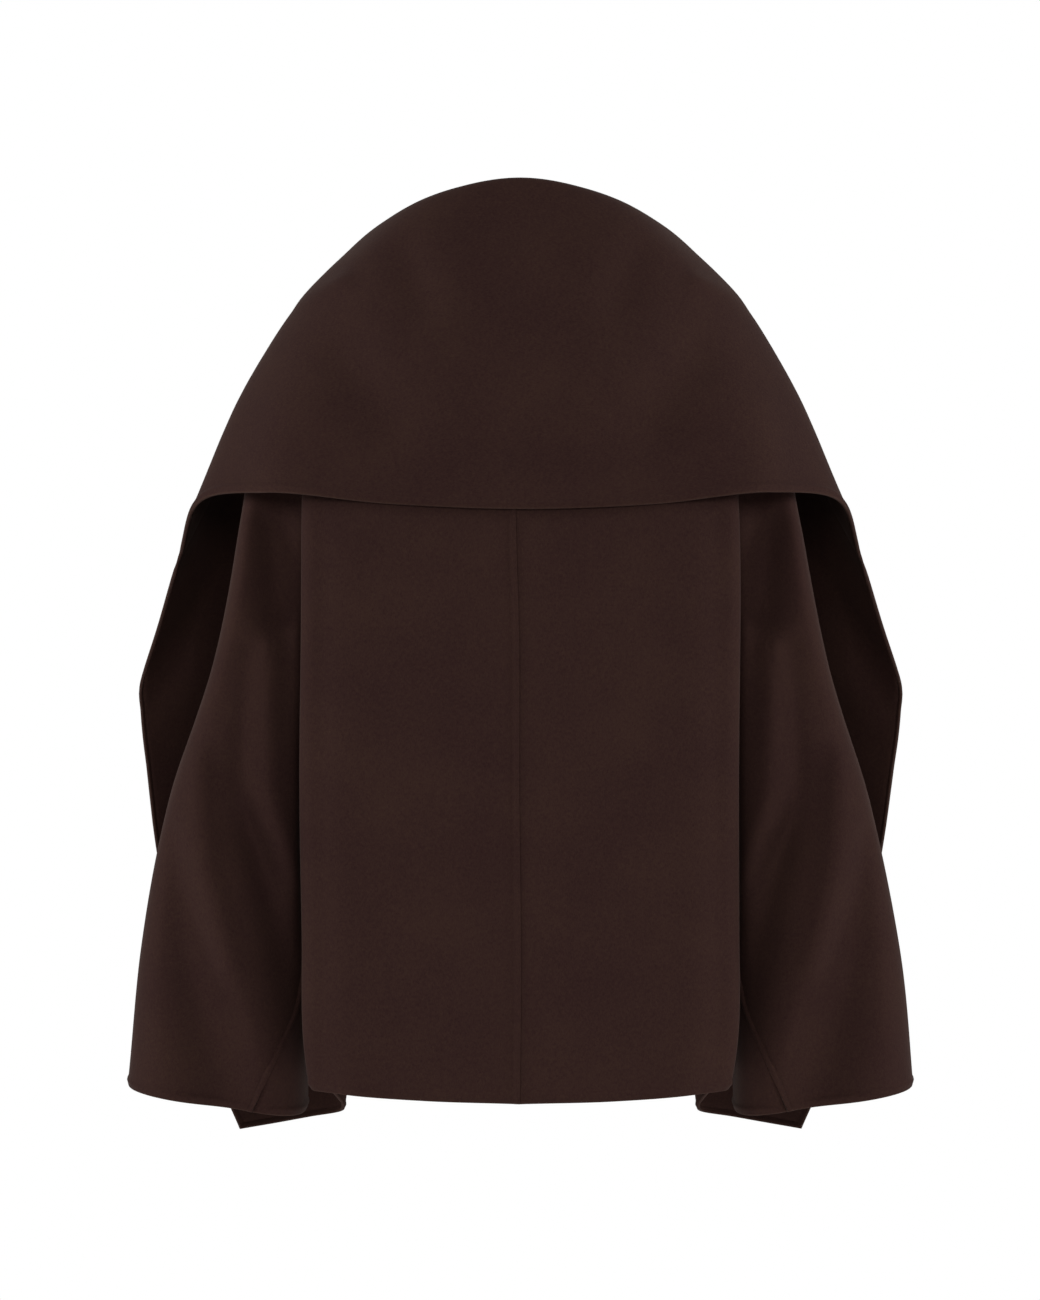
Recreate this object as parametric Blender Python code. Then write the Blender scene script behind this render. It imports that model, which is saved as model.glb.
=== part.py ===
"""Cape jacket of double-faced wool with a deep draped shawl collar, filled out as if worn.

The wearer's back faces -Y and the wearer's right is at +X. The origin lies under the cloth, midway
between the two points where the neck meets the shoulders. The tables hold centimetres, as a cutter
would write them, for the wearer's right half, and CM turns the finished points into metres. Each
cut piece is a grid of points on the middle of the cloth, and a wall is raised to both sides of it.
"""
from types import SimpleNamespace

import bmesh
import bpy
import numpy as np

CM = 0.01
MIRROR = np.array((-1.0, 1.0, 1.0))

# Cloth, in centimetres
CLOTH = 0.26
SEAM_GAP = 0.03
MITRE_LIMIT = 0.7

# Neck and shoulder seam: (x, y, z)
NAPE = np.array((0.0, -7.6, 1.6))
NECK_SIDE = np.array((8.0, -1.4, 0.6))

# Side seam, from the hem to the underarm, then the turns up the armhole from there, in degrees, and
# the steps between the rows of the body tables, from the hem to the shoulder seam
SIDE_X = 16.25
SIDE_Y = -0.5
SIDE_LEVELS = (-66.8, -62.8, -54.0, -43.0, -30.0)
UNDERARM = 180.0
ARMHOLE_TURNS = (45.0, 80.0, 112.0, 146.0)
ROW_STEPS = (1, 2, 3, 3, 2, 2, 2, 3, 4)


def table(columns, *rows):
    """Name the columns of a short table of sizes."""
    return SimpleNamespace(**{name: np.array(values, float) for name, values
                              in zip(columns.split(), zip(*rows))})


# Back panel, from the hem up: centre back, shoulder blade, rolled side edge, valley behind the roll
BACK = table(
    "centre_z centre_y blade_y roll_x roll_y valley_x valley_y",
    (-67.5, -14.0, -13.0, 16.9, -10.8, 15.9, -9.0),
    (-63.0, -14.1, -13.2, 17.5, -11.0, 16.2, -8.9),
    (-54.0, -14.2, -13.3, 17.6, -11.0, 16.3, -8.9),
    (-43.0, -14.0, -13.1, 17.7, -11.0, 16.3, -8.9),
    (-30.5, -13.7, -12.8, 17.7, -10.9, 16.1, -8.9),
    (-25.5, -13.4, -12.6, 17.7, -10.8, 16.1, -9.0),
    (-18.0, -12.8, -12.1, 17.6, -10.5, 16.0, -9.1),
    (-9.5, -11.2, -10.2, 17.2, -9.3, 15.9, -8.3),
    (-3.0, -9.0, -6.6, 16.5, -6.4, 15.8, -5.9),
)
QUARTER_X = 0.45
QUARTER_Y = 0.2
BLADE_X = 0.85
BACK_DROP = (0.0, 0.06, 0.45, 0.85, 0.95, 1.0)
BACK_STEPS = (4, 4, 3, 3, 4)

# Front panel, from the hem up: front edge, chest, and the bend towards the side
FRONT = table(
    "front_z front_x front_y chest_x chest_y bend_x bend_y",
    (-71.1, 15.8, 12.6, 17.0, 9.6, 17.1, 5.0),
    (-65.8, 15.2, 12.8, 16.8, 9.9, 17.1, 5.1),
    (-56.5, 14.1, 12.9, 16.4, 10.4, 17.0, 5.2),
    (-45.0, 12.9, 12.9, 15.8, 11.0, 16.8, 5.8),
    (-32.0, 11.4, 12.4, 14.6, 11.2, 16.0, 6.6),
    (-26.0, 10.9, 12.0, 13.9, 11.1, 15.9, 8.2),
    (-18.0, 10.2, 11.2, 13.0, 10.6, 15.6, 8.7),
    (-10.5, 9.5, 9.4, 12.2, 9.2, 15.1, 7.7),
    (-4.0, 8.8, 5.0, 11.4, 5.2, 14.5, 4.5),
)
FRONT_DROP = (0.0, 0.15, 0.6, 1.0)
FRONT_STEPS = (3, 4, 3)

# Sleeve, from the armhole to the cuff: its top line, its under line, its depth and how square it is
SLEEVE = table(
    "outer_x outer_z inner_x inner_z back_y front_y square",
    (16.4, -3.5, 16.4, -30.0, -8.0, 7.0, 2.0),
    (19.6, -5.3, 16.8, -31.2, -8.6, 7.2, 2.0),
    (22.2, -10.5, 17.3, -33.4, -9.0, 7.2, 2.1),
    (23.8, -18.3, 17.7, -37.5, -9.2, 7.2, 2.2),
    (26.7, -31.8, 18.0, -44.5, -9.1, 7.2, 2.3),
    (29.55, -43.8, 18.1, -52.5, -9.0, 7.4, 2.4),
    (31.8, -56.0, 18.2, -61.5, -8.8, 7.6, 2.4),
    (33.0, -67.4, 18.2, -69.6, -8.8, 7.8, 2.4),
)
SLEEVE_RINGS = 15
UPPER_STEPS = 24
UNDER_STEPS = 8

# Seams of the under sleeve: the angle round the sleeve at shares of the way to the cuff
SEAMS = table(
    "share hind fore",
    (0.0, 196.0, 128.0),
    (0.60, 192.0, 124.0),
    (0.82, 195.0, 122.0),
    (0.91, 222.0, 121.0),
    (1.0, 243.0, 120.0),
)

# Hanging folds of the sleeve: a line across its back, the ridge height (a hollow is negative), width
BACK_FOLDS = table(
    "from_x from_z to_x to_z height width",
    (22.3, -22.0, 21.4, -45.0, 0.7, 1.7),
    (22.2, -45.5, 18.2, -54.0, -0.7, 1.7),
    (27.2, -42.0, 24.2, -57.0, 0.6, 2.2),
)
FRONT_FOLDS = table(
    "from_x from_z to_x to_z height width",
    (21.9, -20.0, 21.0, -42.0, -0.6, 1.9),
    (26.2, -36.0, 22.6, -60.0, -0.7, 2.3),
)

# Collar and lapel, by the distance along the neck and front edge from centre back: (x, y, z) of the
# stand, the roll line, two places down the fall, and the free edge
SHAWL_ROWS = (
    (0.0, (0, -7.9, 5.2), (0, -9.4, 7.8), (0, -11.6, 4.6), (0, -14.4, -6.0), (0, -15.8, -19.6)),
    (5.5, (5.4, -6.4, 4.6), (5.9, -7.7, 6.9), (8.5, -10.0, 3.7), (10.0, -12.9, -6.5),
     (10.8, -14.9, -19.1)),
    (11.0, (9.0, -2.6, 3.0), (10.1, -3.9, 5.3), (13.8, -5.3, 2.2), (18.4, -8.6, -7.2),
     (20.6, -11.2, -18.1)),
    (14.5, (10.0, 0.8, 2.0), (11.8, 0.4, 4.2), (15.95, -0.6, 1.5), (22.4, -2.5, -7.8),
     (26.65, -4.0, -18.4)),
    (19.0, (10.2, 5.0, -0.8), (11.4, 5.6, 1.4), (16.0, 5.6, -1.8), (22.6, 4.2, -11.0),
     (28.85, 2.6, -23.4)),
    (27.0, (9.1, 10.6, -9.8), (9.2, 11.8, -8.6), (14.0, 12.6, -11.8), (23.5, 11.4, -20.0),
     (33.1, 8.0, -34.2)),
    (36.0, (9.7, 12.5, -19.6), (9.7, 13.5, -19.8), (14.8, 14.6, -22.2), (24.5, 12.6, -29.5),
     (32.35, 8.4, -41.5)),
    (48.5, (10.9, 13.3, -32.0), (10.9, 14.3, -32.2), (15.6, 15.0, -34.2), (24.6, 12.8, -40.5),
     (31.5, 9.0, -50.0)),
    (61.5, (12.4, 13.8, -45.1), (12.4, 14.7, -45.4), (16.9, 15.3, -46.9), (24.0, 13.6, -51.5),
     (29.6, 10.5, -59.0)),
    (74.0, (13.8, 13.7, -57.6), (13.8, 14.6, -58.0), (17.6, 15.2, -59.2), (23.0, 14.0, -62.3),
     (27.6, 12.0, -66.8)),
    (88.0, (15.7, 13.3, -71.4), (15.9, 14.1, -71.7), (18.7, 14.7, -72.0), (21.9, 14.2, -72.5),
     (25.0, 13.4, -73.1)),
)
SHAWL_STEPS = (2, 2, 3, 3, 4)

# The gorge seam between collar and lapel starts this many rows down the front edge from the neck's side
GORGE_ROWS = 4

# Rims are split at their corner that lies furthest this way, so that two rims at a seam split alike
RIM_ORDER = (0.43, 0.79)

# Finish: linear colours of the face and of the pieces in shade, and the edges that stay sharp
FACE_BROWN = (0.031, 0.0155, 0.0137)
SHADE_BROWN = (0.024, 0.0120, 0.0105)
ROUGHNESS = 0.9
SHARP_ANGLE = np.radians(50.0)


def spline(keys, values, at):
    """Smooth curve through values at uneven keys, read at the places in at."""
    keys = np.asarray(keys, float)
    values = np.asarray(values, float)
    slopes = np.gradient(values, keys, axis=0)
    span = np.clip(np.searchsorted(keys, at, side="right") - 1, 0, len(keys) - 2)
    width = keys[span + 1] - keys[span]
    share = (at - keys[span]) / width
    shape = (-1,) + (1,) * (values.ndim - 1)
    share = share.reshape(shape)
    width = width.reshape(shape)
    rest = 1 - share
    return (values[span] * (1 + 2 * share) * rest ** 2 + values[span + 1] * (3 - 2 * share) * share ** 2
            + width * (slopes[span] * share * rest ** 2 - slopes[span + 1] * rest * share ** 2))


def stepped(keys, steps):
    """Keys with each span cut into its number of equal steps."""
    parts = [np.linspace(keys[i], keys[i + 1], count, endpoint=False) for i, count in enumerate(steps)]
    return np.append(np.concatenate(parts), keys[-1])


def distances(points):
    """Running length along a line of points."""
    return np.append(0.0, np.cumsum(np.linalg.norm(np.diff(points, axis=0), axis=1)))


def section(controls, steps):
    """Smooth line through a section's control points, with each span cut into its steps."""
    keys = distances(controls)
    return spline(keys, controls, stepped(keys, steps))


def unit(vectors):
    return vectors / np.linalg.norm(vectors, axis=-1, keepdims=True)


def sleeve_point(outer, inner, back_y, front_y, square, angles):
    """Points round one ring of the sleeve: 0 degrees on its top line, 90 in front, 180 under the arm."""
    turn = np.radians(angles)
    power = 2.0 / square
    across = np.sign(np.cos(turn)) * np.abs(np.cos(turn)) ** power
    deep = np.sign(np.sin(turn)) * np.abs(np.sin(turn)) ** power
    points = (outer + inner) / 2 + across[:, None] * (outer - inner) / 2
    points[:, 1] = (back_y + front_y) / 2 + deep * (front_y - back_y) / 2
    return points, deep


def armhole_points(angles):
    """Points of the armhole, which lies in an upright plane."""
    outer = np.array((SLEEVE.outer_x[0], 0.0, SLEEVE.outer_z[0]))
    inner = np.array((SLEEVE.inner_x[0], 0.0, SLEEVE.inner_z[0]))
    return sleeve_point(outer, inner, SLEEVE.back_y[0], SLEEVE.front_y[0], SLEEVE.square[0],
                        np.asarray(angles, float))[0]


def panel(points, outside):
    """A cut piece: its grid of points, and the way its outer face looks at each of them."""
    along = np.gradient(points, axis=0)
    across = np.gradient(points, axis=1)
    normals = unit(np.cross(across, along))
    middle = normals[points.shape[0] // 2, points.shape[1] // 2]
    if np.dot(middle, outside) < 0:
        normals = -normals
    return SimpleNamespace(points=points, normals=normals)


def seam(line, first_inside, second_inside):
    """Mitre of two pieces that meet along a line: the way both rims face, and the way to the first."""
    along = unit(np.gradient(line, axis=0))
    ways = []
    for inside in (first_inside, second_inside):
        way = inside - line
        ways.append(unit(way - along * np.sum(way * along, axis=-1, keepdims=True)))
    apart = unit(ways[0] - ways[1])
    return unit(np.cross(along, apart)), apart


def trim(piece, edge, facing, apart):
    """Turn a piece's rim to its seam's mitre, at full thickness, and move it half the gap away."""
    cosine = np.sum(piece.normals[edge] * facing, axis=-1, keepdims=True)
    stretch = 1.0 / np.clip(np.abs(cosine), MITRE_LIMIT, 1.0)
    piece.normals[edge] = facing * np.sign(cosine) * stretch
    piece.points[edge] = piece.points[edge] + apart * SEAM_GAP / 2


def join(first, first_edge, first_inside, second, second_edge, second_inside):
    """Mitre two pieces along a seam whose points they share."""
    facing, apart = seam(first.points[first_edge], first.points[first_inside],
                         second.points[second_inside])
    trim(first, first_edge, facing, apart)
    trim(second, second_edge, facing, -apart)


def meet_plane(piece, edge, side):
    """Hold an edge's wall to one side of the armhole's plane, half a seam's gap away from it."""
    reach = np.abs(piece.normals[edge][:, 0]) * CLOTH / 2 + SEAM_GAP / 2
    piece.points[edge][:, 0] = SLEEVE.outer_x[0] + side * reach


def meet_centre(piece, edge):
    """Turn an edge square to the centre plane, half a seam's gap away from it."""
    piece.normals[edge] = unit(piece.normals[edge] * (0.0, 1.0, 1.0))
    piece.points[edge][:, 0] = SEAM_GAP / 2


def body_rows(sections, turn_sign):
    """Rows of a body panel, from the hem to the shoulder seam, with the edge held to the armhole."""
    sections = np.array(sections)
    keys = np.append(0.0, np.cumsum(np.linalg.norm(np.diff(sections, axis=0), axis=2).mean(axis=1)))
    points = spline(keys, sections, stepped(keys, ROW_STEPS))
    below = len(SIDE_LEVELS) - 1
    turns = np.array((0.0,) + ARMHOLE_TURNS + (UNDERARM,))
    first = sum(ROW_STEPS[:below])
    angles = UNDERARM + turn_sign * stepped(turns, ROW_STEPS[below:])
    points[:first + 1, -1] = (SIDE_X, SIDE_Y, 0.0)
    points[:first + 1, -1, 2] = stepped(SIDE_LEVELS, ROW_STEPS[:below])
    points[first:, -1] = armhole_points(angles)
    return points


def edge_points(turn_sign):
    """Side seam and armhole points that the rows of a body panel end on, below the shoulder seam."""
    side = [np.array((SIDE_X, SIDE_Y, level)) for level in SIDE_LEVELS]
    side[-1] = armhole_points((UNDERARM,))[0]
    return side + list(armhole_points(UNDERARM + turn_sign * np.array(ARMHOLE_TURNS)))


def shoulder_seam():
    """Points of the shoulder seam, from the neck to the tip of the shoulder."""
    tip = armhole_points((0.0,))[0]
    share = np.linspace(0.0, 1.0, sum(FRONT_STEPS) + 1)[:, None]
    return NECK_SIDE + share * (tip - NECK_SIDE)


def neckline():
    """Points of the back neckline, a quarter of an oval from the nape to the side of the neck."""
    turn = np.linspace(0.0, np.pi / 2, sum(BACK_STEPS[:2]) + 1)
    rise = (NECK_SIDE[2] - NAPE[2]) * (1 - np.cos(turn))
    return np.stack((NECK_SIDE[0] * np.sin(turn), NECK_SIDE[1] + (NAPE[1] - NECK_SIDE[1]) * np.cos(turn),
                     NAPE[2] + rise), axis=1)


def back_panel():
    rows = []
    for i, edge in enumerate(edge_points(1.0)):
        level = BACK.centre_z[i] + (edge[2] - BACK.centre_z[i]) * np.array(BACK_DROP)
        quarter_y = BACK.centre_y[i] + QUARTER_Y * (BACK.blade_y[i] - BACK.centre_y[i])
        x = (0.0, QUARTER_X * BACK.roll_x[i], BLADE_X * BACK.roll_x[i], BACK.roll_x[i], BACK.valley_x[i],
             edge[0])
        y = (BACK.centre_y[i], quarter_y, BACK.blade_y[i], BACK.roll_y[i], BACK.valley_y[i], edge[1])
        rows.append(section(np.stack((x, y, level), axis=1), BACK_STEPS))
    rows.append(np.concatenate((neckline(), shoulder_seam()[1:])))
    return panel(body_rows(rows, 1.0), (0.0, -1.0, 0.0))


def front_panel():
    rows = []
    for i, edge in enumerate(edge_points(-1.0)):
        level = FRONT.front_z[i] + (edge[2] - FRONT.front_z[i]) * np.array(FRONT_DROP)
        x = (FRONT.front_x[i], FRONT.chest_x[i], FRONT.bend_x[i], edge[0])
        y = (FRONT.front_y[i], FRONT.chest_y[i], FRONT.bend_y[i], edge[1])
        rows.append(section(np.stack((x, y, level), axis=1), FRONT_STEPS))
    rows.append(shoulder_seam())
    return panel(body_rows(rows, -1.0), (0.5, 1.0, 0.0))


def fold_height(folds, points):
    """How far the hanging folds lift the cloth at points, each fold fading past its two ends."""
    lift = np.zeros(len(points))
    for i in range(len(folds.height)):
        start = np.array((folds.from_x[i], folds.from_z[i]))
        run = np.array((folds.to_x[i], folds.to_z[i])) - start
        flat = points[:, (0, 2)]
        share = np.clip(((flat - start) @ run) / (run @ run), 0.0, 1.0)
        away = np.linalg.norm(flat - start - share[:, None] * run, axis=1)
        lift += folds.height[i] * np.exp(-(away / folds.width[i]) ** 2)
    return lift


def sleeve_piece(from_angles, to_angles, steps):
    """Part of the sleeve between two of its long seams, whose angles are given for each ring."""
    keys = np.arange(len(SLEEVE.outer_x), dtype=float)
    at = np.linspace(0.0, keys[-1], SLEEVE_RINGS)
    read = {name: spline(keys, values, at) for name, values in vars(SLEEVE).items()}
    rings = []
    for i in range(SLEEVE_RINGS):
        outer = np.array((read["outer_x"][i], 0.0, read["outer_z"][i]))
        inner = np.array((read["inner_x"][i], 0.0, read["inner_z"][i]))
        angles = np.linspace(from_angles[i], to_angles[i], steps + 1)
        ring, deep = sleeve_point(outer, inner, read["back_y"][i], read["front_y"][i],
                                  read["square"][i], angles)
        ring[:, 1] -= fold_height(BACK_FOLDS, ring) * np.clip(-deep, 0.0, 1.0)
        ring[:, 1] += fold_height(FRONT_FOLDS, ring) * np.clip(deep, 0.0, 1.0)
        rings.append(ring)
    return panel(np.array(rings), (1.0, 0.0, 0.0))


def sleeve_panels():
    share = np.linspace(0.0, 1.0, SLEEVE_RINGS)
    hind = spline(SEAMS.share, SEAMS.hind, share)
    fore = spline(SEAMS.share, SEAMS.fore, share)
    upper = sleeve_piece(hind, fore + 360.0, UPPER_STEPS)
    under = sleeve_piece(fore, hind, UNDER_STEPS)
    under.normals = -under.normals
    return upper, under


def shawl_grid(attach):
    """Collar and lapel surface: a section from each point of the neck and front edge outwards."""
    keys = np.array([row[0] for row in SHAWL_ROWS])
    values = np.array([row[1:] for row in SHAWL_ROWS], float)
    keys = np.append(-keys[1], keys)
    values = np.concatenate((values[1:2] * MIRROR, values))
    reach = distances(attach)
    controls = spline(keys, values, reach)
    rows = [section(np.concatenate((attach[i:i + 1], controls[i])), SHAWL_STEPS)
            for i in range(len(attach))]
    return np.array(rows)


def wool(name, colour):
    made = bpy.data.materials.new(name)
    made.use_nodes = True
    shader = made.node_tree.nodes["Principled BSDF"]
    shader.inputs["Base Color"].default_value = (*colour, 1.0)
    shader.inputs["Roughness"].default_value = ROUGHNESS
    made.diffuse_color = (*colour, 1.0)
    return made


def cloth_wall(name, piece, colour, side=1.0):
    """Raise the wall of a piece to both sides of its grid, mirrored to the wearer's left by side."""
    turn = np.array((side, 1.0, 1.0))
    middle = piece.points * turn
    half = piece.normals * turn * CLOTH / 2
    rows, columns = middle.shape[:2]
    count = rows * columns
    corners = np.concatenate((middle + half, middle - half)).reshape(-1, 3) * CM
    index = np.arange(count).reshape(rows, columns)
    faces = []
    for i in range(rows - 1):
        for j in range(columns - 1):
            quad = (index[i, j], index[i, j + 1], index[i + 1, j + 1], index[i + 1, j])
            faces.append(quad)
            faces.append(tuple(corner + count for corner in reversed(quad)))
    rim = np.concatenate((index[0], index[1:, -1], index[-1, -2::-1], index[-2:0:-1, 0]))
    height = np.abs(corners[:, 0]) + corners[:, 1:] @ np.array(RIM_ORDER)
    for here, there in zip(rim, np.roll(rim, -1)):
        quad = (there, here, here + count, there + count)
        start = int(np.argmax(height[list(quad)]))
        turned = quad[start:] + quad[:start]
        faces.append(turned[:3])
        faces.append((turned[0], turned[2], turned[3]))
    mesh = bpy.data.meshes.new(name)
    mesh.from_pydata(corners.tolist(), [], [tuple(int(corner) for corner in face) for face in faces])
    work = bmesh.new()
    work.from_mesh(mesh)
    bmesh.ops.recalc_face_normals(work, faces=work.faces)
    work.to_mesh(mesh)
    work.free()
    mesh.shade_smooth()
    mesh.set_sharp_from_angle(angle=SHARP_ANGLE)
    mesh.materials.append(wool(name + "_wool", colour))
    collection.objects.link(bpy.data.objects.new(name, mesh))


for old in list(bpy.data.objects):
    bpy.data.objects.remove(old)

collection = bpy.data.collections.new("cape_jacket")
bpy.context.scene.collection.children.link(collection)

back = back_panel()
front = front_panel()
sleeve_upper, sleeve_under = sleeve_panels()

# The neck and front edge, from centre back down to the hem, carries the collar and then the lapel
neck_steps = sum(BACK_STEPS[:2])
side_rows = sum(ROW_STEPS[:len(SIDE_LEVELS) - 1])
neck_edge = np.concatenate((back.points[-1, :neck_steps + 1], front.points[-2::-1, 0]))
gorge = neck_steps + GORGE_ROWS
shawl = shawl_grid(neck_edge)
collar_half = panel(shawl[:gorge + 1], (0.0, -1.0, 0.0))
lapel = panel(shawl[gorge:], (0.0, 1.0, 0.0))

# Seams. At the side of the neck the shoulder seam leads into the body.
whole = slice(None)
side_seam = (slice(0, side_rows + 1), -1)
beside_side = (slice(0, side_rows + 1), -2)
inside_neck = np.concatenate((back.points[-2, :neck_steps], back.points[-1, neck_steps + 1:neck_steps + 2],
                              front.points[-2::-1, 1]))
neck_facing, neck_apart = seam(neck_edge, inside_neck, shawl[:, 1])
join(back, side_seam, beside_side, front, side_seam, beside_side)
join(back, (-1, slice(neck_steps, None)), (-2, slice(neck_steps, None)), front, (-1, whole), (-2, whole))
join(collar_half, (-1, whole), (-2, whole), lapel, (0, whole), (1, whole))
join(sleeve_upper, (whole, 0), (whole, 1), sleeve_under, (whole, -1), (whole, -2))
join(sleeve_upper, (whole, -1), (whole, -2), sleeve_under, (whole, 0), (whole, 1))
trim(back, (-1, slice(0, neck_steps + 1)), neck_facing[:neck_steps + 1], neck_apart[:neck_steps + 1])
trim(front, (slice(None, None, -1), 0), neck_facing[neck_steps:], neck_apart[neck_steps:])
trim(collar_half, (whole, 0), neck_facing[:gorge + 1], -neck_apart[:gorge + 1])
trim(lapel, (whole, 0), neck_facing[gorge:], -neck_apart[gorge:])
for body in (back, front):
    meet_plane(body, (slice(side_rows, None), -1), -1.0)
for tube in (sleeve_upper, sleeve_under):
    meet_plane(tube, (0, whole), 1.0)
meet_centre(back, (whole, 0))

# The collar is cut in one, so its half turns square to the centre plane and is carried on across it
collar_half.normals[0] = unit(collar_half.normals[0] * (0.0, 1.0, 1.0))
collar = SimpleNamespace(
    points=np.concatenate((collar_half.points[:0:-1] * MIRROR, collar_half.points)),
    normals=np.concatenate((collar_half.normals[:0:-1] * MIRROR, collar_half.normals)))

for hand, side in (("right", 1.0), ("left", -1.0)):
    cloth_wall("back_" + hand, back, FACE_BROWN, side)
    cloth_wall("front_" + hand, front, SHADE_BROWN, side)
    cloth_wall("sleeve_upper_" + hand, sleeve_upper, FACE_BROWN, side)
    cloth_wall("sleeve_under_" + hand, sleeve_under, SHADE_BROWN, side)
    cloth_wall("lapel_" + hand, lapel, SHADE_BROWN, side)
cloth_wall("collar", collar, FACE_BROWN)
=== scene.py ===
"""Looks of a cape jacket of double-faced wool with a deep draped shawl collar, around its packed frame.

The cut pieces are laid out as the frame's solids are, from tables of sizes in centimetres for the
wearer's right half. A few sizes are fitted more closely than the frame's, and the grids are finer,
with the creases, pressed edges, lapped seams and hand stitches that the cloth shows. The wearer's
back faces -Y and the wearer's right is at +X.
"""
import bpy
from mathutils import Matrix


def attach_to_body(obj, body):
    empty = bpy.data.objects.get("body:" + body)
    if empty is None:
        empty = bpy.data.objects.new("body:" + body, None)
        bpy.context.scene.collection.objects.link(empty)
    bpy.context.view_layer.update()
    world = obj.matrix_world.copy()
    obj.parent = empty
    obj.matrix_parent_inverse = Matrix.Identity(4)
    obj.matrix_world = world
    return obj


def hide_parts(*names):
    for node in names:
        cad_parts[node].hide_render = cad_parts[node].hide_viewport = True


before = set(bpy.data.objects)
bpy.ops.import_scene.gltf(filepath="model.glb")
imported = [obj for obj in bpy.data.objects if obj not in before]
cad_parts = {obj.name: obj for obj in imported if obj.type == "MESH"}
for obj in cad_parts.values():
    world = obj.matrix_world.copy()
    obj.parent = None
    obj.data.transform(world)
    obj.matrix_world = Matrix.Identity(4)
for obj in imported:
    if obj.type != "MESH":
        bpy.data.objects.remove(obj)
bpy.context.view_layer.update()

from types import SimpleNamespace

import bmesh
import bpy
import numpy as np
from mathutils import Vector

CM = 0.01
MIRROR = np.array((-1.0, 1.0, 1.0))

# Thickness of the cloth and gap of a seam, in centimetres, and how far a rim's wall may be cut askew
CLOTH = 0.26
SEAM_GAP = 0.03
MITRE_LIMIT = 0.7

# Neck and shoulder seam: (x, y, z)
NAPE = np.array((0.0, -7.6, 1.6))
NECK_SIDE = np.array((8.0, -1.4, 0.6))

# Side seam, from the hem to the underarm, then the turns up the armhole from there, in degrees, and
# the steps between the rows of the body tables, from the hem to the shoulder seam
SIDE_X = 16.25
SIDE_Y = -0.5
SIDE_LEVELS = (-66.8, -62.8, -54.0, -43.0, -30.0)
UNDERARM = 180.0
ARMHOLE_TURNS = (45.0, 80.0, 112.0, 146.0)
ROW_STEPS = (8, 16, 24, 24, 16, 14, 14, 20, 24)


def table(columns, *rows):
    """Name the columns of a short table of sizes."""
    return SimpleNamespace(**{name: np.array(values, float) for name, values
                              in zip(columns.split(), zip(*rows))})


# Back panel, from the hem up: centre back, shoulder blade, rolled side edge, valley behind the roll
BACK = table(
    "centre_z centre_y blade_y roll_x roll_y valley_x valley_y",
    (-67.85, -14.0, -13.0, 16.9, -10.8, 15.9, -9.0),
    (-63.0, -14.1, -13.2, 17.5, -11.0, 16.2, -8.9),
    (-54.0, -14.2, -13.3, 17.6, -11.0, 16.3, -8.9),
    (-43.0, -14.0, -13.1, 17.7, -11.0, 16.3, -8.9),
    (-30.5, -13.7, -12.8, 17.7, -10.9, 16.1, -8.9),
    (-25.5, -13.4, -12.6, 17.7, -10.8, 16.1, -9.0),
    (-18.0, -12.8, -12.1, 17.6, -10.5, 16.0, -9.1),
    (-9.5, -11.2, -10.2, 17.2, -9.3, 15.9, -8.3),
    (-3.0, -9.0, -6.6, 16.5, -6.4, 15.8, -5.9),
)

# Shares of the way to the roll and to the shoulder blade at which a section's second and third points
# lie, and shares of the way from the centre's level to the side's that all its points have
QUARTER_X = 0.45
QUARTER_Y = 0.2
BLADE_X = 0.85
BACK_DROP = (0.0, 0.26, 0.72, 0.88, 0.95, 1.0)
BACK_STEPS = (16, 16, 14, 14, 20)

# Front panel, from the hem up: front edge, chest, and the bend towards the side
FRONT = table(
    "front_z front_x front_y chest_x chest_y bend_x bend_y",
    (-71.1, 15.8, 12.6, 17.0, 9.6, 17.1, 5.0),
    (-65.8, 15.2, 12.8, 16.8, 9.9, 17.1, 5.1),
    (-56.5, 14.1, 12.9, 16.4, 10.4, 17.0, 5.2),
    (-45.0, 12.9, 12.9, 15.8, 11.0, 16.8, 5.8),
    (-32.0, 11.4, 12.4, 14.6, 11.2, 16.0, 6.6),
    (-26.0, 10.9, 12.0, 13.9, 11.1, 15.9, 8.2),
    (-18.0, 10.2, 11.2, 13.0, 10.6, 15.6, 8.7),
    (-10.5, 9.5, 9.4, 12.2, 9.2, 15.1, 7.7),
    (-4.0, 8.8, 5.0, 11.4, 5.2, 14.5, 4.5),
)
FRONT_DROP = (0.0, 0.45, 0.75, 1.0)
FRONT_STEPS = (14, 16, 18)

# Sleeve, from the armhole to the cuff: its top line, its under line, its depth and how square it is
SLEEVE = table(
    "outer_x outer_z inner_x inner_z back_y front_y square",
    (16.4, -3.5, 16.4, -30.0, -8.0, 7.0, 2.0),
    (19.6, -5.3, 16.8, -31.2, -8.6, 7.2, 2.0),
    (22.2, -10.5, 17.3, -33.4, -8.4, 7.2, 3.2),
    (23.0, -18.6, 17.7, -37.5, -8.0, 7.2, 4.6),
    (25.5, -31.8, 18.0, -44.5, -8.5, 7.2, 4.8),
    (29.3, -43.8, 18.1, -52.5, -8.8, 7.4, 4.0),
    (31.8, -56.0, 18.2, -61.5, -8.8, 7.6, 3.2),
    (33.0, -67.6, 18.2, -69.9, -8.8, 7.8, 2.8),
)

# Rings of the sleeve, steps round its two parts, how many times finer a ring is worked out than laid,
# how far the folds stand for their height, and the rings of the table over which they begin
SLEEVE_RINGS = 141
UPPER_STEPS = 150
UNDER_STEPS = 50
RING_DETAIL = 8
FOLD_REACH = 1.5
FOLD_START = 1.2

# Seams of the under sleeve: the angle round the sleeve at shares of the way to the cuff
SEAMS = table(
    "share hind fore",
    (0.0, 196.0, 128.0),
    (0.60, 192.0, 124.0),
    (0.82, 202.0, 122.0),
    (0.91, 231.0, 121.0),
    (1.0, 250.0, 120.0),
)

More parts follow.
